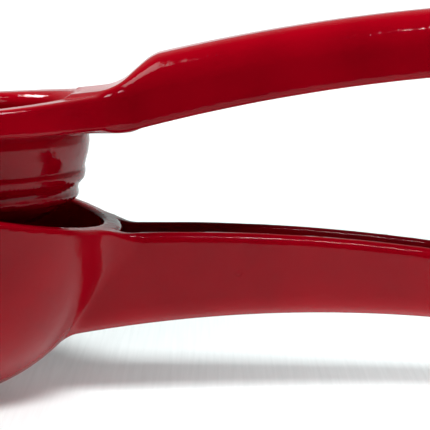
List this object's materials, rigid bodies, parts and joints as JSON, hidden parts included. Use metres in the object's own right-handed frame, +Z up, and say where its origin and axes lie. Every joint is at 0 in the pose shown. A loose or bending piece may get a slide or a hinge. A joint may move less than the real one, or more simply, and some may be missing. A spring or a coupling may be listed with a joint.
{
  "type": "citrus press",
  "caption": "Hand citrus press: a round juice bowl and a ring with a hollow stepped press dome, each cast with a long curved channel handle, joined by a hinge pin.",
  "frame": {"origin": "middle of the footprint, on the table the press stands on", "axes": "+X from the hinge to the handles' ends, +Z up; the press is symmetric about the XZ plane"},
  "size_m": [0.2234, 0.076, 0.0746],
  "materials": {
    "enamel_lower": "glossy red enamel on cast aluminium",
    "enamel_upper": "glossy red enamel on cast aluminium",
    "pin_steel": "plain turned steel"
  },
  "bodies": {
    "lower_body": {"lower_arm": "enamel_lower", "hinge_pin": "pin_steel"},
    "upper_body": {"upper_arm": "enamel_upper"}
  },
  "joints": [
    {"name": "arm_hinge", "type": "hinge", "parent": "lower_body", "child": "upper_body", "pos_m": [-0.10625, 0, 0.053], "axis": [0, -1, 0], "range_deg": [-12, 115]}
  ]
}
